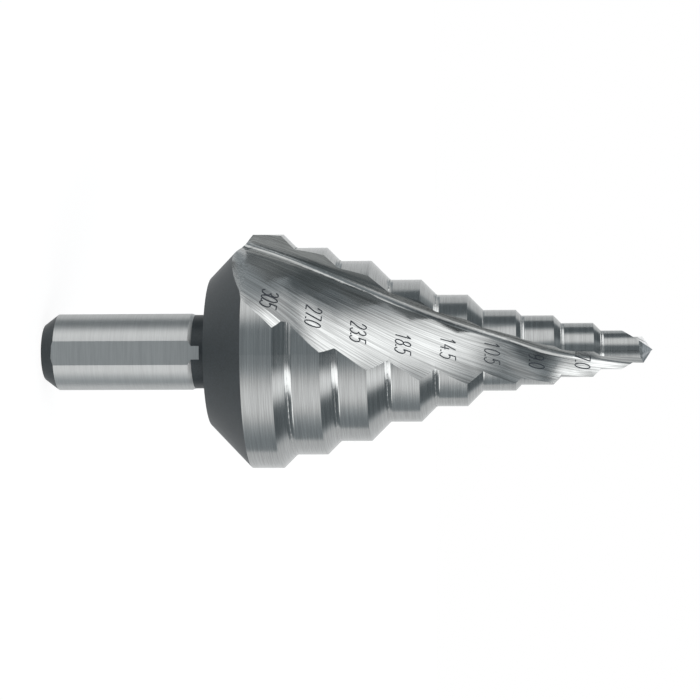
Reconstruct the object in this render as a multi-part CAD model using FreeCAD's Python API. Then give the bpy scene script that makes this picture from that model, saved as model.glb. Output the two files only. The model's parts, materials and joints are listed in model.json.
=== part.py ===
"""A nine step drill with a three flat shank and two spiral flutes, ground from one piece of tool steel.

The axis is +Z. The origin is at the centre of the shank's end face, and the point is at the top. All lengths
are in millimetres and all angles in degrees. Angles round the axis are measured from -Y towards -X, so that the
first flute opens towards -Y at the middle of the body.
"""

import FreeCAD
import Part

import math
import os
from collections import namedtuple

# Shank: a 10 mm cylinder with a tapered end, three flats for the chuck's jaws and a slightly thinner neck. The
# taper and the bevel at the neck bulge by the crown.
SHANK_DIAMETER = 10.0
SHANK_LENGTH = 19.4
SHANK_END_DIAMETER = 7.3
SHANK_END_TAPER = 1.8
TURNED_CROWN = 0.005
NECK_DIAMETER = 9.66
NECK_BEVEL = 0.45
NECK_LENGTH = 2.25
FLAT_COUNT = 3
FLAT_DEPTH = 0.25
FLAT_DIRECTION = -1.7
FLAT_OVERRUN = 1.5

# Body: the cone behind the largest step, and the steps from the largest to the smallest. Each step is a
# cylindrical land, and a 45 degree chamfer that cuts the hole up to its size leads down to the next land.
# The wheel leaves a round in the roots of the larger steps.
BACK_FACE_DIAMETER = 19.4
BACK_CONE_LENGTH = 5.4
CHAMFER_ANGLE = 45.0
ROOT_ROUND = 0.4
ROUNDED_ROOTS = 4
POINT_LAND_LENGTH = 5.2

# Each step carries its own section of the flute: how far the flute's corner lies from the axis as a share of
# the step's radius, how far that corner is turned back from the helix, and the directions of its two walls.
Step = namedtuple("Step", "diameter land corner_share turn_back number_wall rake_wall")
STEPS = [
    Step(30.5, 4.0, 0.850, 4.2, 117.0, -38.0),
    Step(27.0, 4.0, 0.832, 1.9, 118.0, -35.5),
    Step(23.5, 4.0, 0.808, 0.3, 117.5, -33.5),
    Step(18.5, 4.0, 0.806, -0.6, 116.8, -31.0),
    Step(14.5, 4.0, 0.762, -0.5, 116.0, -29.0),
    Step(10.5, 4.2, 0.660, 0.4, 115.3, -26.0),
    Step(9.0, 4.1, 0.538, -19.0, 101.0, 7.0),
    Step(7.0, 4.1, 0.606, -42.0, 88.0, 46.0),
    Step(5.0, POINT_LAND_LENGTH, 0.780, -65.5, 71.0, 86.0),
]

# Flutes: two V grooves with a rounded corner. The wide wall carries the size numbers and ends in a heel facet
# that turns away from it. The other wall is the rake face. A last section, a little below the largest step, has
# its wide wall lifted, so that the flute runs out on the back cone.
FLUTE_COUNT = 2
HELIX_LEAD = 218.0
HELIX_START = 88.5
FLUTE_CORNER_ROUND = 0.8
NUMBER_WALL_WIDTH = 14.9
RUN_OUT_LENGTH = 2.5
RUN_OUT_LIFT = 19.0
RUN_OUT_RADIUS = 13.75
RUN_OUT_TURN_BACK = 3.5
HEEL_FACET_TURN = 20.0
FLUTE_OVERRUN = 6.5

# Point: two lips under one cone, relieved behind the lips, and a gash that splits the web up to the centre.
POINT_ANGLE = 120.0
LIP_DIRECTION = -58.0
LIP_RELIEF = 7.0
GASH_SLOPE = 32.0
GASH_CENTRE_OFFSET = 0.03
GASH_WALL_OFFSET = 0.12

AXIS = FreeCAD.Vector(0, 0, 1)
ORIGIN = FreeCAD.Vector(0, 0, 0)
FULL_TURN = 360.0

# How far a cutting tool stands clear of the stock, and how wide the grinding wheel's own faces are.
TOOL_CLEARANCE = 2.0
WHEEL_REACH = 16.0


def around(radius, angle, height):
    """The point at this radius, angle round the axis and height."""
    turn = math.radians(angle)
    return FreeCAD.Vector(-radius * math.sin(turn), -radius * math.cos(turn), height)


def chamfer_length(large, small):
    """How long the chamfer is, along the axis, between two diameters."""
    return (large - small) / 2 / math.tan(math.radians(CHAMFER_ANGLE))


def step_levels():
    """The bottom and top height of each land, from the largest step to the smallest."""
    levels = []
    height = SHANK_LENGTH + NECK_BEVEL + NECK_LENGTH + BACK_CONE_LENGTH
    for step, following in zip(STEPS, STEPS[1:] + [None]):
        levels.append((height, height + step.land))
        height += step.land
        if following:
            height += chamfer_length(step.diameter, following.diameter)
    return levels


def point_height():
    """The height of the very point: the smallest land and the cone that ends it."""
    return step_levels()[-1][1] + STEPS[-1].diameter / 2 / math.tan(math.radians(POINT_ANGLE / 2))


def blank():
    """The turned blank, from one outline that is drawn over the first flat."""
    levels = step_levels()
    body_start = SHANK_LENGTH + NECK_BEVEL + NECK_LENGTH
    outline = [
        (0, 0),
        (SHANK_END_DIAMETER / 2, 0),
        (SHANK_DIAMETER / 2, SHANK_END_TAPER),
        (SHANK_DIAMETER / 2, SHANK_LENGTH),
        (NECK_DIAMETER / 2, SHANK_LENGTH + NECK_BEVEL),
        (NECK_DIAMETER / 2, body_start),
        (BACK_FACE_DIAMETER / 2, body_start),
    ]
    crowns = {1: TURNED_CROWN, 3: TURNED_CROWN}
    rounds = {}
    for step, (bottom, top) in zip(STEPS, levels):
        if step in STEPS[1 : 1 + ROUNDED_ROOTS]:
            rounds[len(outline)] = ROOT_ROUND
        outline.append((step.diameter / 2, bottom))
        outline.append((step.diameter / 2, top))
    outline.append((0, point_height()))
    corners = [around(radius, FLAT_DIRECTION, height) for radius, height in outline]
    outline_face = Part.Face(Part.Wire(rounded_edges(corners, rounds, crowns)))
    return outline_face.revolve(ORIGIN, AXIS, FULL_TURN)


def rounded_edges(corners, rounds, crowns):
    """The edges of a closed outline.

    rounds gives the radius at some of its corners, by number. crowns gives how far some of its edges bulge away
    from the axis, by the number of the corner that each starts at.
    """
    starts = []
    ends = []
    arcs = []
    for number, corner in enumerate(corners):
        before = (corners[number - 1] - corner).normalize()
        after = (corners[(number + 1) % len(corners)] - corner).normalize()
        radius = rounds.get(number, 0.0)
        half = before.getAngle(after) / 2
        reach = radius / math.tan(half)
        ends.append(corner + before * reach)
        starts.append(corner + after * reach)
        if radius:
            bisector = (before + after).normalize()
            middle = corner + bisector * (radius / math.sin(half) - radius)
            arcs.append(Part.Arc(ends[-1], middle, starts[-1]).toShape())
        else:
            arcs.append(None)
    edges = []
    for number in range(len(corners)):
        if arcs[number]:
            edges.append(arcs[number])
        start = starts[number]
        end = ends[(number + 1) % len(corners)]
        if number in crowns:
            outward = (end - start).cross(start.cross(AXIS)).normalize()
            edges.append(Part.Arc(start, (start + end) / 2 + outward * crowns[number], end).toShape())
        else:
            edges.append(Part.LineSegment(start, end).toShape())
    return edges


def flute_section(height, corner_radius, turn_back, number_wall, rake_wall):
    """One section of a flute: the rake face, the rounded corner, the number face and the heel facet."""
    angle = HELIX_START - FULL_TURN * (height - step_levels()[0][0]) / HELIX_LEAD + turn_back
    corner = around(corner_radius, angle, height)
    rake = around(1, angle + rake_wall, 0)
    number = around(1, angle - number_wall, 0)
    heel = around(1, angle - number_wall - HEEL_FACET_TURN, 0)
    crest = corner + number * NUMBER_WALL_WIDTH
    corners = [corner + rake * WHEEL_REACH, corner, crest, crest + heel * WHEEL_REACH]
    return Part.Wire(rounded_edges(corners, {1: FLUTE_CORNER_ROUND}, {}))


def flute_cutter():
    """The solid that one flute takes away, from below the back cone to above the point."""
    levels = step_levels()
    middles = [(bottom + top) / 2 for bottom, top in levels]
    radii = [step.corner_share * step.diameter / 2 for step in STEPS]
    spread = (radii[0] - radii[1]) / (middles[1] - middles[0])
    first = STEPS[0]
    last = STEPS[-1]
    start = levels[0][0]
    radius = radii[0] + spread * (middles[0] - start)
    lifted = first.number_wall - RUN_OUT_LIFT
    sections = [
        flute_section(start - RUN_OUT_LENGTH, RUN_OUT_RADIUS, RUN_OUT_TURN_BACK, lifted, first.rake_wall),
        flute_section(start, radius, first.turn_back, first.number_wall, first.rake_wall),
    ]
    for step, middle, radius in zip(STEPS, middles, radii):
        sections.append(flute_section(middle, radius, step.turn_back, step.number_wall, step.rake_wall))
    above = middles[-1] + FLUTE_OVERRUN
    sections.append(flute_section(above, radii[-1], last.turn_back, last.number_wall, last.rake_wall))
    return Part.makeLoft(sections, True, False)


def flat_cutter():
    """The block that grinds one flat on the shank, running a little way into the neck."""
    width = SHANK_DIAMETER
    length = SHANK_LENGTH + FLAT_OVERRUN + TOOL_CLEARANCE
    block = Part.makeBox(width, width, length)
    block.translate(FreeCAD.Vector(-width / 2, -SHANK_DIAMETER / 2 + FLAT_DEPTH - width, -TOOL_CLEARANCE))
    block.rotate(ORIGIN, AXIS, -FLAT_DIRECTION)
    return block


def relieved_point():
    """The room that the point fills: two cones, each tilted so that it falls away behind its own lip."""
    height = point_height()
    tip = FreeCAD.Vector(0, 0, height)
    reach = height + TOOL_CLEARANCE
    cone = Part.makeCone(reach * math.tan(math.radians(POINT_ANGLE / 2)), 0, reach)
    cone.translate(tip - AXIS * reach)
    lips = around(1, LIP_DIRECTION, 0)
    tilted = []
    for tilt in (LIP_RELIEF, -LIP_RELIEF):
        side = cone.copy()
        side.rotate(tip, lips, tilt)
        tilted.append(side)
    return tilted[0].common(tilted[1]).toNurbs()


def gash_cutter():
    """The wedge that splits the point: its floor climbs to the centre and its wall is the inner lip's face."""
    height = point_height()
    floor = Part.makeBox(2 * WHEEL_REACH, 2 * WHEEL_REACH, WHEEL_REACH)
    floor.translate(FreeCAD.Vector(-WHEEL_REACH, -WHEEL_REACH, 0))
    floor.rotate(ORIGIN, FreeCAD.Vector(0, 1, 0), GASH_SLOPE - 90)
    floor.translate(FreeCAD.Vector(-GASH_CENTRE_OFFSET, 0, height))
    wall = Part.makeBox(2 * WHEEL_REACH, WHEEL_REACH, 2 * WHEEL_REACH)
    wall.translate(FreeCAD.Vector(-WHEEL_REACH, GASH_WALL_OFFSET - WHEEL_REACH, height - WHEEL_REACH))
    wall.rotate(ORIGIN, AXIS, -(LIP_DIRECTION + 90))
    return floor.common(wall)


def copies_around(shape, count):
    """The shape and its copies, evenly spaced round the axis."""
    copies = []
    for number in range(count):
        copy = shape.copy()
        copy.rotate(ORIGIN, AXIS, FULL_TURN * number / count)
        copies.append(copy)
    return copies


def step_drill():
    """The whole drill: the blank, less its flats, its flutes and the gashes at the point."""
    drill = blank()
    drill = drill.common(relieved_point())
    drill = drill.cut(copies_around(flat_cutter(), FLAT_COUNT))
    drill = drill.cut(copies_around(flute_cutter(), FLUTE_COUNT))
    drill = drill.cut(copies_around(gash_cutter(), FLUTE_COUNT))
    return drill


def main():
    os.makedirs("parts", exist_ok=True)
    drill = step_drill()
    solid = drill.Solids[0]
    solid.exportStep("parts/step_drill.step")
    box = solid.optimalBoundingBox()
    print("solids", len(drill.Solids), "valid", solid.isValid(), "faces", len(solid.Faces))
    print("size", round(box.XLength, 3), round(box.YLength, 3), round(box.ZLength, 3))
    print("volume", round(solid.Volume, 1), "centre", [round(v, 2) for v in solid.CenterOfMass])


main()
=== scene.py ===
"""Step drill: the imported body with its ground, blackened and marked finishes, a studio and a camera.

Everything is placed in the part's own frame, in metres, and a class that works in millimetres says so. The
drill stands on its shank end with its point at the top, and the camera looks from -Y with the drill's axis
across the picture.
"""

import json
import logging
import math
from collections.abc import Callable, Sequence
from dataclasses import dataclass, field
from enum import Enum

import bpy
from mathutils import Matrix, Vector
from mathutils.bvhtree import BVHTree

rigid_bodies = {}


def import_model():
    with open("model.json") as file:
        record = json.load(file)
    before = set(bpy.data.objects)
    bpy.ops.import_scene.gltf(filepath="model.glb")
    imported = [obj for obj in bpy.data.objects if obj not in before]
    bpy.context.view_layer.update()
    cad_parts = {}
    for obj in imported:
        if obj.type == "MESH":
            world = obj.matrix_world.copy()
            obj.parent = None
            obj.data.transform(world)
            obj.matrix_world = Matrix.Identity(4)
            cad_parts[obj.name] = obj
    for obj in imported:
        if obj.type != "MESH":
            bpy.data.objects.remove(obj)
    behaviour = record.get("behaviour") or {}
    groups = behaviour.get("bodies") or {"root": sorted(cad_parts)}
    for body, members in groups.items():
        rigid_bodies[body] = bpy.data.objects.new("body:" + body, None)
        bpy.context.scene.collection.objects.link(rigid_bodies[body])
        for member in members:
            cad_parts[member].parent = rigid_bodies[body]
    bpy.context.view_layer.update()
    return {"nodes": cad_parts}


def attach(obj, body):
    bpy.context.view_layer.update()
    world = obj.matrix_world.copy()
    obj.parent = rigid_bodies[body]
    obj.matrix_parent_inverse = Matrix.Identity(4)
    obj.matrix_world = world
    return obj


LOG = logging.getLogger("step_drill")
MM = 0.001
TINY = 1e-9
Colour = tuple[float, float, float]
Point2 = tuple[float, float]
WHITE: Colour = (1.0, 1.0, 1.0)
STEEL: Colour = (0.40, 0.41, 0.408)


class Surface(Enum):
    """How a face of the drill was finished, and its place in the mesh's list of materials."""

    TURNED = 0
    FLUTE = 1
    FLAT = 2
    OXIDE = 3
    SHANK = 4
    POINT = 5


class Channel:
    """A shader socket or a plain number, with operators that add Math nodes to its tree."""

    def __init__(self, shader: "Shader", source: "bpy.types.NodeSocket | float") -> None:
        """Keeps the tree that new nodes go into, and the socket or number that this stands for."""
        self.shader = shader
        self.source = source

    def _math(self, operation: str, *values: "Channel | float") -> "Channel":
        """Adds one Math node, whose sockets take the values in order."""
        node = self.shader.node("ShaderNodeMath", {"operation": operation}, dict(enumerate(values)))
        return Channel(self.shader, node.outputs[0])

    def __add__(self, other: "Channel | float") -> "Channel":
        """The sum."""
        return self._math("ADD", self, other)

    def __radd__(self, other: float) -> "Channel":
        """The sum, with the number first."""
        return self._math("ADD", other, self)

    def __sub__(self, other: "Channel | float") -> "Channel":
        """The difference."""
        return self._math("SUBTRACT", self, other)

    def __rsub__(self, other: float) -> "Channel":
        """The number less this."""
        return self._math("SUBTRACT", other, self)

    def __mul__(self, other: "Channel | float") -> "Channel":
        """The product."""
        return self._math("MULTIPLY", self, other)

    def __rmul__(self, other: float) -> "Channel":
        """The product, with the number first."""
        return self._math("MULTIPLY", other, self)

    def __truediv__(self, other: "Channel | float") -> "Channel":
        """The quotient."""
        return self._math("DIVIDE", self, other)

    def __rtruediv__(self, other: float) -> "Channel":
        """The number divided by this."""
        return self._math("DIVIDE", other, self)

    def sine(self) -> "Channel":
        """The sine of an angle in radians."""
        return self._math("SINE", self)

    def cosine(self) -> "Channel":
        """The cosine of an angle in radians."""
        return self._math("COSINE", self)

    def arcsine(self) -> "Channel":
        """The angle in degrees whose sine this is."""
        return self._math("ARCSINE", self) * math.degrees(1)

    def bearing(self, ahead: "Channel") -> "Channel":
        """The angle in degrees whose tangent is this over the other."""
        return self._math("ARCTAN2", self, ahead) * math.degrees(1)

    def sign(self) -> "Channel":
        """Minus one below zero and one above it."""
        return self._math("SIGN", self)

    def size(self) -> "Channel":
        """The value without its sign."""
        return self._math("ABSOLUTE", self)

    def at_least(self, least: float) -> "Channel":
        """The value, or the least one where it falls below."""
        return self._math("MAXIMUM", self, least)

    def above(self, edge: float, softness: float) -> "Channel":
        """A ramp from 0 to 1 that is half way up at the edge.

        Args:
            edge: The value at which the ramp reaches a half.
            softness: How far the ramp takes from 0 to 1.

        Returns:
            The smoothed ramp.
        """
        settings = {"interpolation_type": "SMOOTHSTEP"}
        inputs = {0: self, 1: edge - softness / 2, 2: edge + softness / 2, 3: 0.0, 4: 1.0}
        return Channel(self.shader, self.shader.node("ShaderNodeMapRange", settings, inputs).outputs[0])

    def between(self, low: float, high: float, softness: float) -> "Channel":
        """1 from low to high and 0 outside, with soft sides."""
        return self.above(low, softness) * (1 - self.above(high, softness))


@dataclass(frozen=True)
class Grain:
    """One size of noise: how fine it is, how many octaves it has and how much the finer ones count."""

    scale: float
    detail: float
    rough: float


class Shader:
    """One material's or world's node tree, with one method that adds any node."""

    def __init__(self, owner: "bpy.types.Material | bpy.types.World") -> None:
        """Empties a node tree and keeps it.

        Args:
            owner: The material or world whose tree it is.
        """
        owner.use_nodes = True
        self.tree = owner.node_tree
        self.tree.nodes.clear()

    def node(self, kind: str, settings: dict | None = None, inputs: dict | None = None) -> bpy.types.Node:
        """Adds a node.

        Args:
            kind: The node's type.
            settings: Its properties, set before its sockets. The stops of a ramp come under "stops".
            inputs: What its sockets take, by name or number: a Channel, a socket or a plain value.

        Returns:
            The new node.
        """
        node = self.tree.nodes.new(kind)
        for name, value in (settings or {}).items():
            if name == "stops":
                self._ramp(node, value)
            else:
                setattr(node, name, value)
        for name, value in (inputs or {}).items():
            self.feed(node.inputs[name], value)
        return node

    def feed(self, socket: bpy.types.NodeSocket, value: object) -> None:
        """Links a socket or sets its plain value.

        Args:
            socket: The socket that takes the value.
            value: A Channel or another socket, which is linked, or a plain value.
        """
        source = value.source if isinstance(value, Channel) else value
        if isinstance(source, bpy.types.NodeSocket):
            self.tree.links.new(source, socket)
        else:
            socket.default_value = source

    @staticmethod
    def _ramp(node: bpy.types.Node, stops: Sequence[tuple[float, Colour]]) -> None:
        """Gives a colour ramp its stops.

        Args:
            node: The ramp's node.
            stops: The place and the colour of each stop, in order.
        """
        elements = node.color_ramp.elements
        while len(elements) < len(stops):
            elements.new(1.0)
        for element, (place, colour) in zip(elements, stops):
            element.position = place
            element.color = (*colour, 1.0)

    def channel(self, socket: "bpy.types.NodeSocket | float") -> Channel:
        """Wraps a socket for arithmetic."""
        return Channel(self, socket)

    def position(self) -> tuple[Channel, Channel, Channel]:
        """Where the point being shaded lies.

        Returns:
            Its three coordinates in the part's frame.
        """
        place = self.node("ShaderNodeTexCoord").outputs["Object"]
        parts = self.node("ShaderNodeSeparateXYZ", inputs={0: place})
        return tuple(self.channel(parts.outputs[axis]) for axis in range(3))

    def vector(self, x: Channel, y: Channel, z: Channel) -> bpy.types.NodeSocket:
        """A vector from its three parts."""
        return self.node("ShaderNodeCombineXYZ", inputs={0: x, 1: y, 2: z}).outputs[0]

    def noise(self, place: bpy.types.NodeSocket, grain: Grain) -> Channel:
        """Noise, about 0.5 in the mean.

        Args:
            place: Where it is taken.
            grain: How fine and how rough it is.

        Returns:
            Its value.
        """
        settings = {"noise_dimensions": "3D"}
        inputs = {"Vector": place, "Scale": grain.scale, "Detail": grain.detail, "Roughness": grain.rough}
        return self.channel(self.node("ShaderNodeTexNoise", settings, inputs).outputs["Fac"])

    def mix_colour(
        self, factor: "Channel | float", first: object, second: object, blend: str = "MIX"
    ) -> bpy.types.NodeSocket:
        """Mixes two colours.

        Args:
            factor: How much of the second there is.
            first: A plain colour or a socket.
            second: A plain colour or a socket.
            blend: The Mix node's way of mixing.

        Returns:
            The mixed colour.
        """
        settings = {"data_type": "RGBA", "blend_type": blend}
        inputs = {0: factor, 6: self._rgba(first), 7: self._rgba(second)}
        return self.node("ShaderNodeMix", settings, inputs).outputs[2]

    @staticmethod
    def _rgba(colour: object) -> object:
        """A plain colour with its fourth part, or a socket as it is."""
        return (*colour, 1.0) if isinstance(colour, tuple) and len(colour) == 3 else colour

    def shaded(self, colour: Colour, shade: Channel) -> bpy.types.NodeSocket:
        """A colour made lighter or darker by a factor."""
        return self.mix_colour(1.0, colour, self.vector(shade, shade, shade), "MULTIPLY")

    def principled(self, inputs: dict) -> None:
        """Ends a material's tree in a Principled shader whose sockets take the inputs."""
        body = self.node("ShaderNodeBsdfPrincipled", inputs=inputs)
        self.node("ShaderNodeOutputMaterial", inputs={"Surface": body.outputs[0]})


@dataclass(frozen=True)
class BlackOxide:
    """Black oxide left on the surfaces that are turned but not ground."""

    name: str = "black_oxide"
    colour: Colour = (0.037, 0.0455, 0.0505)
    metallic: float = 0.35
    roughness: float = 0.45
    roughness_spread: float = 0.12
    fine: Grain = Grain(5000.0, 3.0, 0.65)
    fine_shade: float = 1.1
    patches: Grain = Grain(420.0, 3.0, 0.6)
    patch_shade: float = 0.5
    bump_strength: float = 0.5
    bump_depth: float = 0.004 * MM

    def material(self) -> bpy.types.Material:
        """Builds the material: near black, satin, with a fine grain.

        Returns:
            The new material.
        """
        material = bpy.data.materials.new(self.name)
        shader = Shader(material)
        place = shader.vector(*shader.position())
        grain = shader.noise(place, self.fine)
        patches = shader.noise(place, self.patches)
        shade = 1 + (grain - 0.5) * self.fine_shade + (patches - 0.5) * self.patch_shade
        bump = {"Strength": self.bump_strength, "Distance": self.bump_depth, "Height": grain}
        shader.principled(
            {
                "Base Color": shader.shaded(self.colour, shade),
                "Metallic": self.metallic,
                "Roughness": self.roughness + (patches - 0.5) * self.roughness_spread,
                "Normal": shader.node("ShaderNodeBump", inputs=bump).outputs[0],
            }
        )
        return material


@dataclass(frozen=True)
class Grinding:
    """The lines of a grinding wheel: how close they lie, how long they run, and their depth and contrast."""

    spacing: float
    length: float
    depth: float
    shade: float


@dataclass(frozen=True)
class Root:
    """The hollow that a wheel's rounded edge leaves where a chamfer meets the next land, in millimetres."""

    height: float
    below: float
    above: float
    rise: float

    def bump(self, z: Channel) -> Channel:
        """How far the hollow stands over the solid's tighter corner.

        Args:
            z: The height of the point being shaded, in millimetres.

        Returns:
            The rise there.
        """
        chamfer_side = z.above(self.height - self.below / 2, self.below)
        land_side = 1 - z.above(self.height + self.above / 2, self.above)
        return chamfer_side * land_side * self.rise


@dataclass(frozen=True)
class Roots:
    """The hollows between the steps: wide on the larger ones and narrow near the point."""

    hollows: tuple[Root, ...] = (
        Root(33.25, 0.42, 0.50, 0.14),
        Root(39.0, 0.42, 0.50, 0.14),
        Root(45.5, 0.42, 0.50, 0.14),
        Root(51.5, 0.42, 0.50, 0.14),
        Root(57.5, 0.10, 0.20, 0.03),
        Root(62.45, 0.16, 0.40, 0.09),
        Root(67.55, 0.16, 0.40, 0.09),
        Root(72.65, 0.16, 0.40, 0.09),
    )

    def height(self, shader: Shader) -> Channel:
        """How far the hollows stand over the solid.

        Args:
            shader: The material's nodes.

        Returns:
            The rise at the point being shaded, in metres.
        """
        z = shader.position()[2] / MM
        total = shader.channel(0.0)
        for hollow in self.hollows:
            total = total + hollow.bump(z)
        return total * MM


@dataclass(frozen=True)
class GroundSteel:
    """Bright ground tool steel with the wheel's lines, and with oxide below a height where it has any."""

    name: str
    colour: Colour
    roughness: float
    roughness_spread: float
    grinding: Grinding
    lines: Callable[[Shader, Grinding], bpy.types.NodeSocket]
    roots: Roots | None = None
    oxide: BlackOxide | None = None
    oxide_top: float = 25.1 * MM
    oxide_edge: float = 0.06 * MM
    fine: Grain = Grain(1.0, 2.0, 0.6)
    fine_share: float = 0.7
    fine_edge: float = 0.28
    coarse: Grain = Grain(0.25, 2.0, 0.6)
    coarse_shade: float = 1.2

    def material(self) -> bpy.types.Material:
        """Builds the material: lines in its height, roughness and colour.

        Returns:
            The new material.
        """
        material = bpy.data.materials.new(self.name)
        shader = Shader(material)
        place = self.lines(shader, self.grinding)
        fine = shader.noise(place, self.fine)
        coarse = shader.noise(place, self.coarse)
        height = (fine * self.fine_share + coarse * (1 - self.fine_share)) * self.grinding.depth
        if self.roots:
            height = height + self.roots.height(shader)
        bump = shader.node("ShaderNodeBump", inputs={"Strength": 1.0, "Distance": 1.0, "Height": height})
        dark = fine.above(0.5, self.fine_edge) - 0.5 + (coarse - 0.5) * self.coarse_shade
        tint = shader.shaded(self.colour, 1 + dark * self.grinding.shade)
        metallic: "Channel | float" = 1.0
        roughness = self.roughness + (coarse - 0.5) * self.roughness_spread
        if self.oxide:
            left = 1 - shader.position()[2].above(self.oxide_top, self.oxide_edge)
            tint = shader.mix_colour(left, tint, self.oxide.colour)
            metallic = 1 - left * (1 - self.oxide.metallic)
            roughness = roughness + left * (self.oxide.roughness - self.roughness)
        shader.principled(
            {"Base Color": tint, "Metallic": metallic, "Roughness": roughness, "Normal": bump.outputs[0]}
        )
        return material


def round_the_axis(shader: Shader, grinding: Grinding) -> bpy.types.NodeSocket:
    """Where a point lies for lines that run level, round the drill's axis."""
    x, y, z = shader.position()
    return shader.vector(x / grinding.length, y / grinding.length, z / grinding.spacing)


@dataclass(frozen=True)
class FluteSection:
    """A flute's section: its height, its corner's distance from the axis, and how corner and face turn.

    Lengths in millimetres, angles in degrees.
    """

    height: float
    corner: float
    turn_back: float
    number_wall: float


@dataclass(frozen=True)
class Flute:
    """The run of a flute, which the wheel's lines follow. Lengths in millimetres, angles in degrees."""

    lead: float = 218.0
    start_angle: float = 88.5
    start_height: float = 27.5
    drill_length: float = 80.0
    reach: float = 16.0
    turns: tuple[float, float] = (-140.0, -90.0)
    sections: tuple[FluteSection, ...] = (
        FluteSection(25.0, 13.75, 3.5, 98.0),
        FluteSection(27.5, 13.56, 4.2, 117.0),
        FluteSection(29.5, 12.96, 4.2, 117.0),
        FluteSection(35.25, 11.23, 1.9, 118.0),
        FluteSection(41.0, 9.49, 0.3, 117.5),
        FluteSection(47.5, 7.46, -0.6, 116.8),
        FluteSection(53.5, 5.52, -0.5, 116.0),
        FluteSection(59.6, 3.47, 0.4, 115.3),
        FluteSection(64.5, 2.42, -19.0, 101.0),
        FluteSection(69.6, 2.12, -42.0, 88.0),
        FluteSection(75.2, 1.95, -65.5, 71.0),
    )

    def stops(self) -> list[tuple[float, Colour]]:
        """The sections as stops of a ramp.

        Returns:
            Each section's place, with a colour that holds the face's turn and the corner's place along and
            off the face, from 0 to 1.
        """
        found = []
        lowest, highest = self.turns
        for section in self.sections:
            wall = math.radians(section.number_wall)
            turn = (section.turn_back - section.number_wall - lowest) / (highest - lowest)
            along = (section.corner * math.cos(wall) + self.reach) / (2 * self.reach)
            off = section.corner * math.sin(wall) / self.reach
            found.append((section.height / self.drill_length, (turn, along, off)))
        return found

    def lines(self, shader: Shader, grinding: Grinding) -> bpy.types.NodeSocket:
        """Where a point lies for lines that run along the flute.

        Args:
            shader: The material's nodes.
            grinding: The lines.

        Returns:
            How far it lies along and off the number face from the corner, in line spacings, and its height.
        """
        x, y, z = (part / MM for part in shader.position())
        ramp = shader.node("ShaderNodeValToRGB", {"stops": self.stops()}, {0: z / self.drill_length})
        parts = shader.node("ShaderNodeSeparateColor", inputs={0: ramp.outputs[0]})
        turn, along, off = (shader.channel(parts.outputs[axis]) for axis in range(3))
        lowest, highest = self.turns
        helix = self.start_angle - (z - self.start_height) * (360.0 / self.lead)
        angle = (helix + turn * (highest - lowest) + lowest) * math.radians(1)
        sine = angle.sine()
        cosine = angle.cosine()
        outward = y * sine - x * cosine
        inward = (x * sine + y * cosine) * -1
        across = inward * outward.sign() - (along * (2 * self.reach) - self.reach)
        depth = outward.size() - off * self.reach
        spacing = grinding.spacing / MM
        return shader.vector(across / spacing, depth / spacing, z / (grinding.length / MM))


@dataclass
class DrillFinishes:
    """The finishes that the grinding and the oxide bath gave the drill."""

    oxide: BlackOxide = BlackOxide()
    turned: GroundSteel = GroundSteel(
        name="turned_steel",
        colour=STEEL,
        roughness=0.20,
        roughness_spread=0.1,
        grinding=Grinding(spacing=0.10 * MM, length=6 * MM, depth=0.005 * MM, shade=0.17),
        lines=round_the_axis,
        roots=Roots(),
    )
    flute: GroundSteel = GroundSteel(
        name="flute_steel",
        colour=STEEL,
        roughness=0.18,
        roughness_spread=0.1,
        grinding=Grinding(spacing=0.18 * MM, length=12 * MM, depth=0.008 * MM, shade=0.42),
        lines=Flute().lines,
        oxide=BlackOxide(),
    )
    shank: GroundSteel = GroundSteel(
        name="shank_steel",
        colour=(0.50, 0.51, 0.508),
        roughness=0.37,
        roughness_spread=0.08,
        grinding=Grinding(spacing=0.10 * MM, length=3 * MM, depth=0.003 * MM, shade=0.09),
        lines=round_the_axis,
    )
    point: GroundSteel = GroundSteel(
        name="point_steel",
        colour=(0.68, 0.685, 0.69),
        roughness=0.2,
        roughness_spread=0.1,
        grinding=Grinding(spacing=0.16 * MM, length=1 * MM, depth=0.002 * MM, shade=0.2),
        lines=round_the_axis,
    )

    def materials(self) -> dict[Surface, bpy.types.Material]:
        """Builds the materials.

        Returns:
            The material of each kind of surface.
        """
        shank = self.shank.material()
        return {
            Surface.TURNED: self.turned.material(),
            Surface.FLUTE: self.flute.material(),
            Surface.FLAT: shank,
            Surface.OXIDE: self.oxide.material(),
            Surface.SHANK: shank,
            Surface.POINT: self.point.material(),
        }


@dataclass
class Blank:
    """The drill's turned outline, which tells a turned face from a ground one. Lengths in millimetres."""

    end_radius: float = 3.65
    taper_top: float = 1.8
    shank_radius: float = 5.0
    shank_top: float = 19.4
    neck_radius: float = 4.83
    neck_bottom: float = 19.85
    neck_top: float = 22.1
    back_face_radius: float = 9.7
    first_land: float = 27.5
    radii: tuple[float, ...] = (15.25, 13.5, 11.75, 9.25, 7.25, 5.25, 4.5, 3.5, 2.5)
    lands: tuple[float, ...] = (4.0, 4.0, 4.0, 4.0, 4.0, 4.2, 4.1, 4.1, 5.2)

    def radius(self, height: float) -> float:
        """The outline's radius.

        Args:
            height: A height on the drill.

        Returns:
            The radius there.
        """
        if height < self.taper_top:
            return self.end_radius + (self.shank_radius - self.end_radius) * height / self.taper_top
        if height < self.shank_top:
            return self.shank_radius
        if height < self.neck_top:
            return self.neck_radius
        if height < self.first_land:
            share = (height - self.neck_top) / (self.first_land - self.neck_top)
            return self.back_face_radius + (self.radii[0] - self.back_face_radius) * share
        radius = self.radii[0]
        top = self.first_land
        for land, following in zip(self.lands, self.radii[1:]):
            top += land
            drop = radius - following
            if height < top + drop:
                return radius - max(height - top, 0.0)
            radius = following
            top += drop
        return radius


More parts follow.
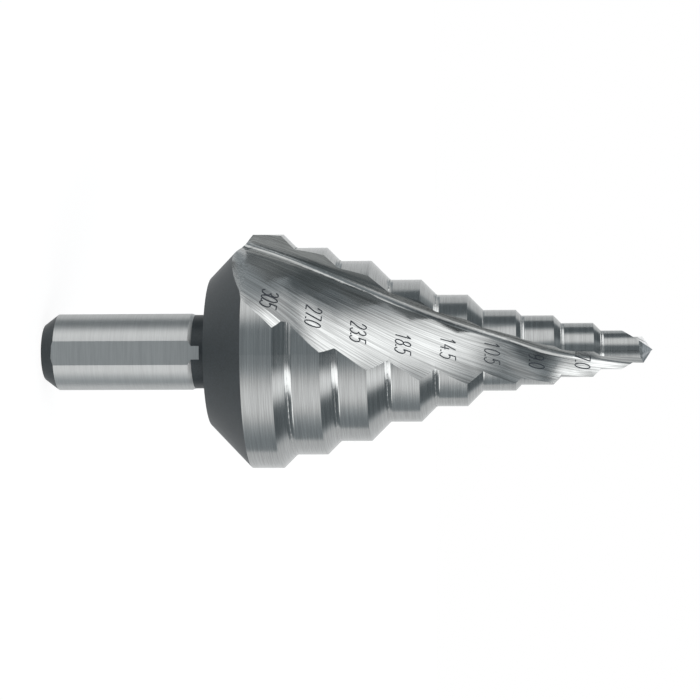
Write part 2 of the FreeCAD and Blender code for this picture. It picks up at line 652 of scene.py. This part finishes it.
@dataclass
class DrillBody:
    """The drill itself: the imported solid, whose faces take their finishes. Lengths in millimetres."""

    node: bpy.types.Object
    blank: Blank = field(default_factory=Blank)
    tolerance: float = 0.045
    end_face_top: float = 0.02
    back_face_margin: float = 0.05
    facing_down: float = -0.5
    last_land_top: float = 77.8
    point_bottom: float = 77.9

    def surface_of(self, centre: Vector, normal: Vector) -> Surface:
        """How the face at this centre was finished.

        Args:
            centre: The face's centre.
            normal: Its outward direction.

        Returns:
            The finish.
        """
        blank = self.blank
        turned = math.hypot(centre.x, centre.y) > blank.radius(centre.z) - self.tolerance
        if centre.z < self.end_face_top or (turned and centre.z < blank.taper_top):
            return Surface.OXIDE
        if centre.z < blank.neck_bottom and (turned or centre.z < blank.shank_top):
            return Surface.SHANK if turned else Surface.FLAT
        if centre.z < blank.neck_top + self.back_face_margin:
            return Surface.OXIDE if turned or normal.z < self.facing_down else Surface.FLAT
        if turned and centre.z < blank.first_land:
            return Surface.OXIDE
        if turned and centre.z < self.last_land_top:
            return Surface.TURNED
        return Surface.POINT if centre.z > self.point_bottom else Surface.FLUTE

    def dress(self, materials: dict[Surface, bpy.types.Material]) -> None:
        """Gives each face of the solid its finish.

        Args:
            materials: The material of each finish.
        """
        mesh = self.node.data
        mesh.materials.clear()
        for surface in Surface:
            mesh.materials.append(materials[surface])
        for face in mesh.polygons:
            face.material_index = self.surface_of(face.center / MM, face.normal).value


@dataclass(frozen=True)
class EtchedMark:
    """The dark etch of the size numbers, which is paler between two heights."""

    name: str = "etched_mark"
    colour: Colour = (0.025, 0.03, 0.038)
    pale_side: float = 2.2
    metallic: float = 0.4
    roughness: float = 0.55
    roughness_spread: float = 0.2
    grain: Grain = Grain(6000.0, 2.0, 0.6)
    pale_band_colour: Colour = (0.17, 0.18, 0.19)
    pale_band_heights: tuple[float, float] = (50.5 * MM, 61.5 * MM)
    pale_band_edge: float = 4 * MM
    pale_band_share: float = 0.45

    def material(self) -> bpy.types.Material:
        """Builds the material: a dark matt etch, a little uneven.

        Returns:
            The new material.
        """
        material = bpy.data.materials.new(self.name)
        shader = Shader(material)
        x, y, z = shader.position()
        uneven = shader.noise(shader.vector(x, y, z), self.grain)
        paler = tuple(self.pale_side * part for part in self.colour)
        # The etch is mixed towards a paler colour between two heights, set by height alone.
        pale_band = z.between(*self.pale_band_heights, self.pale_band_edge) * self.pale_band_share
        etch = shader.mix_colour(uneven, self.colour, paler)
        shader.principled(
            {
                "Base Color": shader.mix_colour(pale_band, etch, self.pale_band_colour),
                "Metallic": self.metallic,
                "Roughness": self.roughness + (uneven - 0.5) * self.roughness_spread,
            }
        )
        return material


@dataclass(frozen=True)
class SizeNumber:
    """One size number: its place seen from the front and its pitch, in millimetres, and its lean."""

    text: str
    height: float
    across: float
    pitch: float
    lean: float


@dataclass
class SizeNumbers:
    """The drill's sizes, etched in single strokes on both flutes beside their steps, in millimetres."""

    sizes: tuple[SizeNumber, ...] = (
        SizeNumber("30.5", 30.8, -7.30, 0.68, 0.38),
        SizeNumber("27.0", 36.2, -5.28, 0.83, 0.36),
        SizeNumber("23.5", 41.8, -3.23, 0.82, 0.33),
        SizeNumber("18.5", 47.4, -1.85, 0.87, 0.30),
        SizeNumber("14.5", 53.05, -1.30, 0.93, 0.27),
        SizeNumber("10.5", 58.65, -0.75, 0.97, 0.25),
        SizeNumber("9.0", 64.35, 0.90, 0.92, 0.20),
        SizeNumber("7.0", 70.25, 1.00, 0.88, 0.16),
    )
    digit_height: float = 1.95
    digit_width: float = 0.62
    point_pitch: float = 0.6
    stroke: float = 0.14
    widest_pair: float = 0.35
    lift: float = 0.015
    step: float = 0.09
    longest_step: float = 0.4
    ray_start: float = -40.0
    oval_parts: int = 28
    curve_parts: int = 6

    def oval(self, centre: Point2, half: Point2) -> list[Point2]:
        """A closed oval about a centre."""
        turns = [2 * math.pi * i / self.oval_parts for i in range(self.oval_parts + 1)]
        return [(centre[0] + half[0] * math.cos(a), centre[1] + half[1] * math.sin(a)) for a in turns]

    @staticmethod
    def smooth(p: float, q: float, r: float, s: float, t: float) -> float:
        """One coordinate of the smooth line between the middle two of four points.

        Args:
            p: The point before.
            q: The point that the line starts from.
            r: The point that it goes to.
            s: The point after.
            t: The share of the way.

        Returns:
            The coordinate.
        """
        square = (2 * p - 5 * q + 4 * r - s) * t**2
        cube = (3 * q - p - 3 * r + s) * t**3
        return 0.5 * (2 * q + (r - p) * t + square + cube)

    def curve(self, *points: Point2) -> list[Point2]:
        """A smooth line.

        Args:
            points: What it goes through, from its start to its end.

        Returns:
            Closer points along it.
        """
        ends = [points[0], *points, points[-1]]
        line = []
        for four in zip(ends, ends[1:], ends[2:], ends[3:]):
            for i in range(self.curve_parts):
                share = i / self.curve_parts
                line.append(tuple(self.smooth(*parts, share) for parts in zip(*four)))
        return [*line, points[-1]]

    def strokes(self, character: str) -> list[list[Point2]]:
        """The strokes of a digit or a point, in a box one wide and one high about its middle.

        Args:
            character: The digit or the point.

        Returns:
            The lines of its strokes.
        """
        curve = self.curve
        bowl_of_two = ((-0.45, 0.22), (-0.28, 0.45), (0.05, 0.5), (0.42, 0.36), (0.4, 0.08), (0.0, -0.22))
        top_of_three = ((-0.45, 0.34), (-0.2, 0.48), (0.14, 0.48), (0.42, 0.3), (0.32, 0.1), (-0.05, 0.03))
        foot_of_three = ((-0.05, 0.03), (0.38, -0.06), (0.48, -0.28), (0.2, -0.48), (-0.18, -0.5))
        bowl_of_five = ((-0.4, 0.04), (0.0, 0.14), (0.42, 0.0), (0.46, -0.28), (0.12, -0.5), (-0.28, -0.48))
        drawn = {
            ".": [[(-0.2, -0.46), (0.2, -0.46)]],
            "0": [self.oval((0.0, 0.0), (0.5, 0.5))],
            "1": [[(-0.3, 0.24), (0.12, 0.5), (0.12, -0.5)]],
            "2": [curve(*bowl_of_two, (-0.45, -0.5)), [(-0.45, -0.5), (0.5, -0.5)]],
            "3": [curve(*top_of_three), curve(*foot_of_three, (-0.48, -0.34))],
            "4": [[(0.12, 0.5), (-0.48, -0.2), (0.5, -0.2)], [(0.22, 0.08), (0.22, -0.5)]],
            "5": [[(0.45, 0.5), (-0.32, 0.5), (-0.4, 0.04)], curve(*bowl_of_five, (-0.48, -0.36))],
            "7": [[(-0.48, 0.5), (0.48, 0.5), (-0.12, -0.5)]],
            "8": [self.oval((0.0, 0.26), (0.38, 0.24)), self.oval((0.0, -0.24), (0.46, 0.26))],
            "9": [
                self.oval((0.0, 0.2), (0.44, 0.3)),
                curve((0.44, 0.2), (0.4, -0.15), (0.15, -0.44), (-0.3, -0.5)),
            ],
        }
        return drawn[character]

    def lines(self, number: SizeNumber) -> list[list[Point2]]:
        """A number's strokes, as points across the drill and up it.

        Args:
            number: The number.

        Returns:
            The lines of all its strokes.
        """
        found = []
        across = number.across
        before = ""
        for character in number.text:
            if before:
                across += number.pitch * (self.point_pitch if "." in (character, before) else 1.0)
            for stroke in self.strokes(character):
                line = []
                for u, v in stroke:
                    leaning = across + u * self.digit_width + number.lean * v * self.digit_height
                    line.append((leaning, number.height + v * self.digit_height))
                found.append(line)
            before = character
        return found

    def finely(self, line: list[Point2]) -> list[Point2]:
        """The line with points no further apart than the step.

        Args:
            line: The stroke's points.

        Returns:
            The same line with more points.
        """
        fine = [line[0]]
        for (x0, y0), (x1, y1) in zip(line, line[1:]):
            count = max(1, math.ceil(math.dist((x0, y0), (x1, y1)) / self.step))
            for i in range(1, count + 1):
                fine.append((x0 + (x1 - x0) * i / count, y0 + (y1 - y0) * i / count))
        return fine

    def on_surface(self, tree: BVHTree, place: Point2) -> Vector | None:
        """The drill's surface behind a place, seen from the front.

        Args:
            tree: The drill's surface.
            place: Where it is looked at, across the drill and up it.

        Returns:
            The point there, lifted a hair off the surface, or None where the drill isn't behind the place.
        """
        start = Vector((place[0], self.ray_start, place[1])) * MM
        hit, normal, _, _ = tree.ray_cast(start, Vector((0, 1, 0)))
        return None if hit is None else hit + normal * self.lift * MM

    def build(self, drill: bpy.types.Object, material: bpy.types.Material) -> bpy.types.Object:
        """Lays the strokes on the drill as thin ribbons, once on each flute.

        Args:
            drill: The drill's solid.
            material: The etch.

        Returns:
            The new piece.
        """
        solid = drill.data
        tree = BVHTree.FromPolygons(
            [vertex.co.copy() for vertex in solid.vertices],
            [tuple(face.vertices) for face in solid.polygons],
        )
        corners: list[Vector] = []
        faces: list[tuple[int, ...]] = []
        for number in self.sizes:
            for line in self.lines(number):
                self.ribbon(tree, self.finely(line), corners, faces)
        half_turn = Matrix.Rotation(math.pi, 3, "Z")
        count = len(corners)
        corners += [half_turn @ corner for corner in corners]
        faces += [tuple(index + count for index in face) for face in faces]
        mesh = bpy.data.meshes.new("size_numbers")
        mesh.from_pydata(corners, [], faces)
        mesh.materials.append(material)
        piece = bpy.data.objects.new("size_numbers", mesh)
        bpy.context.scene.collection.objects.link(piece)
        return piece

    def ribbon(
        self, tree: BVHTree, line: list[Point2], corners: list[Vector], faces: list[tuple[int, ...]]
    ) -> None:
        """Adds one stroke's ribbon where the drill's surface runs on without a jump.

        Args:
            tree: The drill's surface.
            line: The stroke's middle line.
            corners: The corners so far, which grow.
            faces: The faces so far, which grow.
        """
        last: tuple[Vector, Vector] | None = None
        for i, (x, z) in enumerate(line):
            before = line[max(i - 1, 0)]
            after = line[min(i + 1, len(line) - 1)]
            length = max(math.dist(before, after), TINY)
            side_x = -(after[1] - before[1]) / length * self.stroke / 2
            side_z = (after[0] - before[0]) / length * self.stroke / 2
            pair = [self.on_surface(tree, (x + sign * side_x, z + sign * side_z)) for sign in (-1, 1)]
            if None in pair or (pair[1] - pair[0]).length > self.widest_pair * MM:
                last = None
                continue
            if last and max((pair[k] - last[k]).length for k in (0, 1)) < self.longest_step * MM:
                start = len(corners)
                corners += [last[0], last[1], pair[1], pair[0]]
                faces.append((start, start + 1, start + 2, start + 3))
            last = (pair[0], pair[1])


@dataclass(frozen=True)
class Softbox:
    """A soft light far from the drill, or a dark card where its level is below zero. Angles in degrees.

    The azimuth runs round the drill's axis from the camera, and the elevation rises towards the point.
    """

    name: str
    azimuth: tuple[float, float]
    elevation: tuple[float, float]
    edges: tuple[float, float]
    level: float

    def light(self, azimuth: Channel, elevation: Channel) -> Channel:
        """What it adds in a direction."""
        width = azimuth.between(*self.azimuth, self.edges[0])
        return width * elevation.between(*self.elevation, self.edges[1]) * self.level


@dataclass
class Studio:
    """The floor, the white backdrop and the soft lights and cards round the camera."""

    floor_size: float = 3.0
    floor_drop: float = 0.02 * MM
    floor_paint: Colour = (0.9, 0.9, 0.9)
    floor_share: float = 0.75
    floor_glow: float = 1.175
    base: float = 0.19
    darkest: float = 0.07
    cool: Colour = (0.86, 1.0, 1.08)
    white_level: float = 0.5
    white_softness: float = 1.0
    backdrop: float = 0.84
    backdrop_edge: tuple[float, float] = (0.425, 0.05)
    backdrop_top: tuple[float, float] = (38.0, 8.0)
    softboxes: tuple[Softbox, ...] = (
        Softbox("key", (-76.0, -23.0), (-42.0, 18.0), (42.0, 24.0), 0.98),
        Softbox("upper", (30.0, 73.0), (-60.0, 12.0), (22.0, 10.0), 1.08),
        Softbox("strip", (29.0, 112.0), (21.5, 38.5), (18.0, 13.0), 2.0),
        Softbox("front_strip", (-10.0, 22.0), (23.0, 38.0), (16.0, 10.0), 0.55),
        Softbox("low_strip", (-88.0, -50.0), (5.0, 21.0), (16.0, 10.0), 1.75),
        Softbox("lower_strip", (-52.0, -24.0), (20.0, 64.0), (12.0, 14.0), 2.5),
        Softbox("point_light", (-160.0, -60.0), (63.5, 77.5), (30.0, 9.0), 1.4),
        Softbox("point_fill", (150.0, 400.0), (50.0, 72.0), (14.0, 10.0), 0.26),
        Softbox("point_fill_below", (-400.0, -160.0), (50.0, 72.0), (14.0, 10.0), 0.14),
        Softbox("top_fill", (96.0, 125.0), (69.0, 83.0), (16.0, 8.0), 0.32),
        Softbox("lower_fill", (-116.0, -84.0), (-40.0, 20.0), (20.0, 20.0), 0.2),
        Softbox("front_fill", (-14.0, 22.0), (-40.0, 0.0), (20.0, 12.0), 0.19),
        Softbox("upper_card", (116.0, 150.0), (3.0, 16.0), (10.0, 6.0), -0.40),
        Softbox("front_card", (-34.0, -2.0), (2.0, 13.0), (8.0, 5.0), -0.42),
        Softbox("shank_light", (-400.0, 400.0), (-120.0, -48.0), (1.0, 12.0), 0.53),
    )

    def build(self) -> None:
        """Builds the world and the floor."""
        self.build_world()
        self.build_floor()
        LOG.info("studio: floor, backdrop and %s", ", ".join(softbox.name for softbox in self.softboxes))

    def build_world(self) -> None:
        """White behind the drill, soft lights and cards round the camera, and white to the camera itself."""
        world = bpy.data.worlds.new("studio")
        bpy.context.scene.world = world
        shader = Shader(world)
        direction = shader.node("ShaderNodeTexCoord").outputs["Generated"]
        parts = shader.node("ShaderNodeSeparateXYZ", inputs={0: direction})
        x, y, z = (shader.channel(parts.outputs[axis]) for axis in range(3))
        azimuth = (x * -1).bearing(y * -1)
        elevation = z.arcsine()
        behind = y.above(*self.backdrop_edge) * (1 - elevation.above(*self.backdrop_top))
        level = self.base + behind * (self.backdrop - self.base)
        for softbox in self.softboxes:
            level = level + softbox.light(azimuth, elevation)
        level = level.at_least(self.darkest)
        warmth = level.above(self.white_level, self.white_softness)
        tint = shader.mix_colour(warmth, self.cool, WHITE)
        light = shader.node("ShaderNodeBackground", inputs={0: tint, 1: level})
        white = shader.node("ShaderNodeBackground", inputs={0: (*WHITE, 1.0), 1: 1.0})
        camera = shader.node("ShaderNodeLightPath").outputs["Is Camera Ray"]
        sides = {0: camera, 1: light.outputs[0], 2: white.outputs[0]}
        mixed = shader.node("ShaderNodeMixShader", inputs=sides)
        shader.node("ShaderNodeOutputWorld", inputs={"Surface": mixed.outputs[0]})

    def build_floor(self) -> None:
        """A plain pale floor under the shank's end, which the camera sees as white with a faint shadow."""
        half = self.floor_size / 2
        mesh = bpy.data.meshes.new("floor")
        edge = [(-half, -half, 0), (half, -half, 0), (half, half, 0), (-half, half, 0)]
        mesh.from_pydata(edge, [], [(0, 1, 2, 3)])
        floor = bpy.data.objects.new("floor", mesh)
        floor.location.z = -self.floor_drop
        bpy.context.scene.collection.objects.link(floor)
        material = bpy.data.materials.new("pale_floor")
        shader = Shader(material)
        camera = shader.channel(shader.node("ShaderNodeLightPath").outputs["Is Camera Ray"])
        paint = shader.node("ShaderNodeBsdfDiffuse", inputs={0: (*self.floor_paint, 1.0)})
        glow = shader.node("ShaderNodeEmission", inputs={0: (*WHITE, 1.0), 1: self.floor_glow})
        sides = {0: camera * self.floor_share, 1: paint.outputs[0], 2: glow.outputs[0]}
        mixed = shader.node("ShaderNodeMixShader", inputs=sides)
        shader.node("ShaderNodeOutputMaterial", inputs={"Surface": mixed.outputs[0]})
        mesh.materials.append(material)
        floor.visible_glossy = False
        floor.visible_shadow = False


@dataclass
class PhotoCamera:
    """The camera, at the photograph's viewing angle. Lengths in millimetres, angles in degrees."""

    distance: float = 275.0
    pitch: float = 4.25
    roll: float = 0.265
    aim_height: float = 40.12
    axis_below_centre: float = 0.125
    pixels_per_mm: float = 7.66
    frame_pixels: float = 700.0
    sensor: float = 36.0
    clip_start: float = 1.0

    def build(self) -> None:
        """Adds the camera and makes it the scene's own."""
        pitch = math.radians(self.pitch)
        roll = math.radians(self.roll)
        forward = Vector((0, math.cos(pitch), -math.sin(pitch)))
        level_right = Vector((0, math.sin(pitch), math.cos(pitch)))
        level_up = Vector((-1, 0, 0))
        right = level_right * math.cos(roll) - level_up * math.sin(roll)
        up = level_right * math.sin(roll) + level_up * math.cos(roll)
        camera = bpy.data.cameras.new("photo_camera")
        camera.sensor_width = self.sensor
        camera.lens = self.pixels_per_mm * self.distance / self.frame_pixels * self.sensor
        camera.clip_start = self.clip_start * MM
        holder = bpy.data.objects.new("photo_camera", camera)
        aim = Vector((0, 0, self.aim_height)) + level_up * self.axis_below_centre
        turn = Matrix((right, up, -forward)).transposed().to_4x4()
        holder.matrix_world = Matrix.Translation((aim - forward * self.distance) * MM) @ turn
        bpy.context.scene.collection.objects.link(holder)
        bpy.context.scene.camera = holder
        LOG.info("camera: at the photograph's angle")


def main() -> None:
    """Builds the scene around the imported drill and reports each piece."""
    logging.basicConfig(level=logging.INFO, format="%(message)s")
    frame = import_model()
    bpy.context.scene.view_settings.view_transform = "Standard"

    body = DrillBody(frame["nodes"]["step_drill"])
    body.dress(DrillFinishes().materials())
    LOG.info("drill body: %d faces dressed", len(body.node.data.polygons))

    numbers = SizeNumbers().build(body.node, EtchedMark().material())
    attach(numbers, "root")
    LOG.info("size numbers: %d faces", len(numbers.data.polygons))

    Studio().build()
    PhotoCamera().build()


if __name__ == "__main__":
    main()
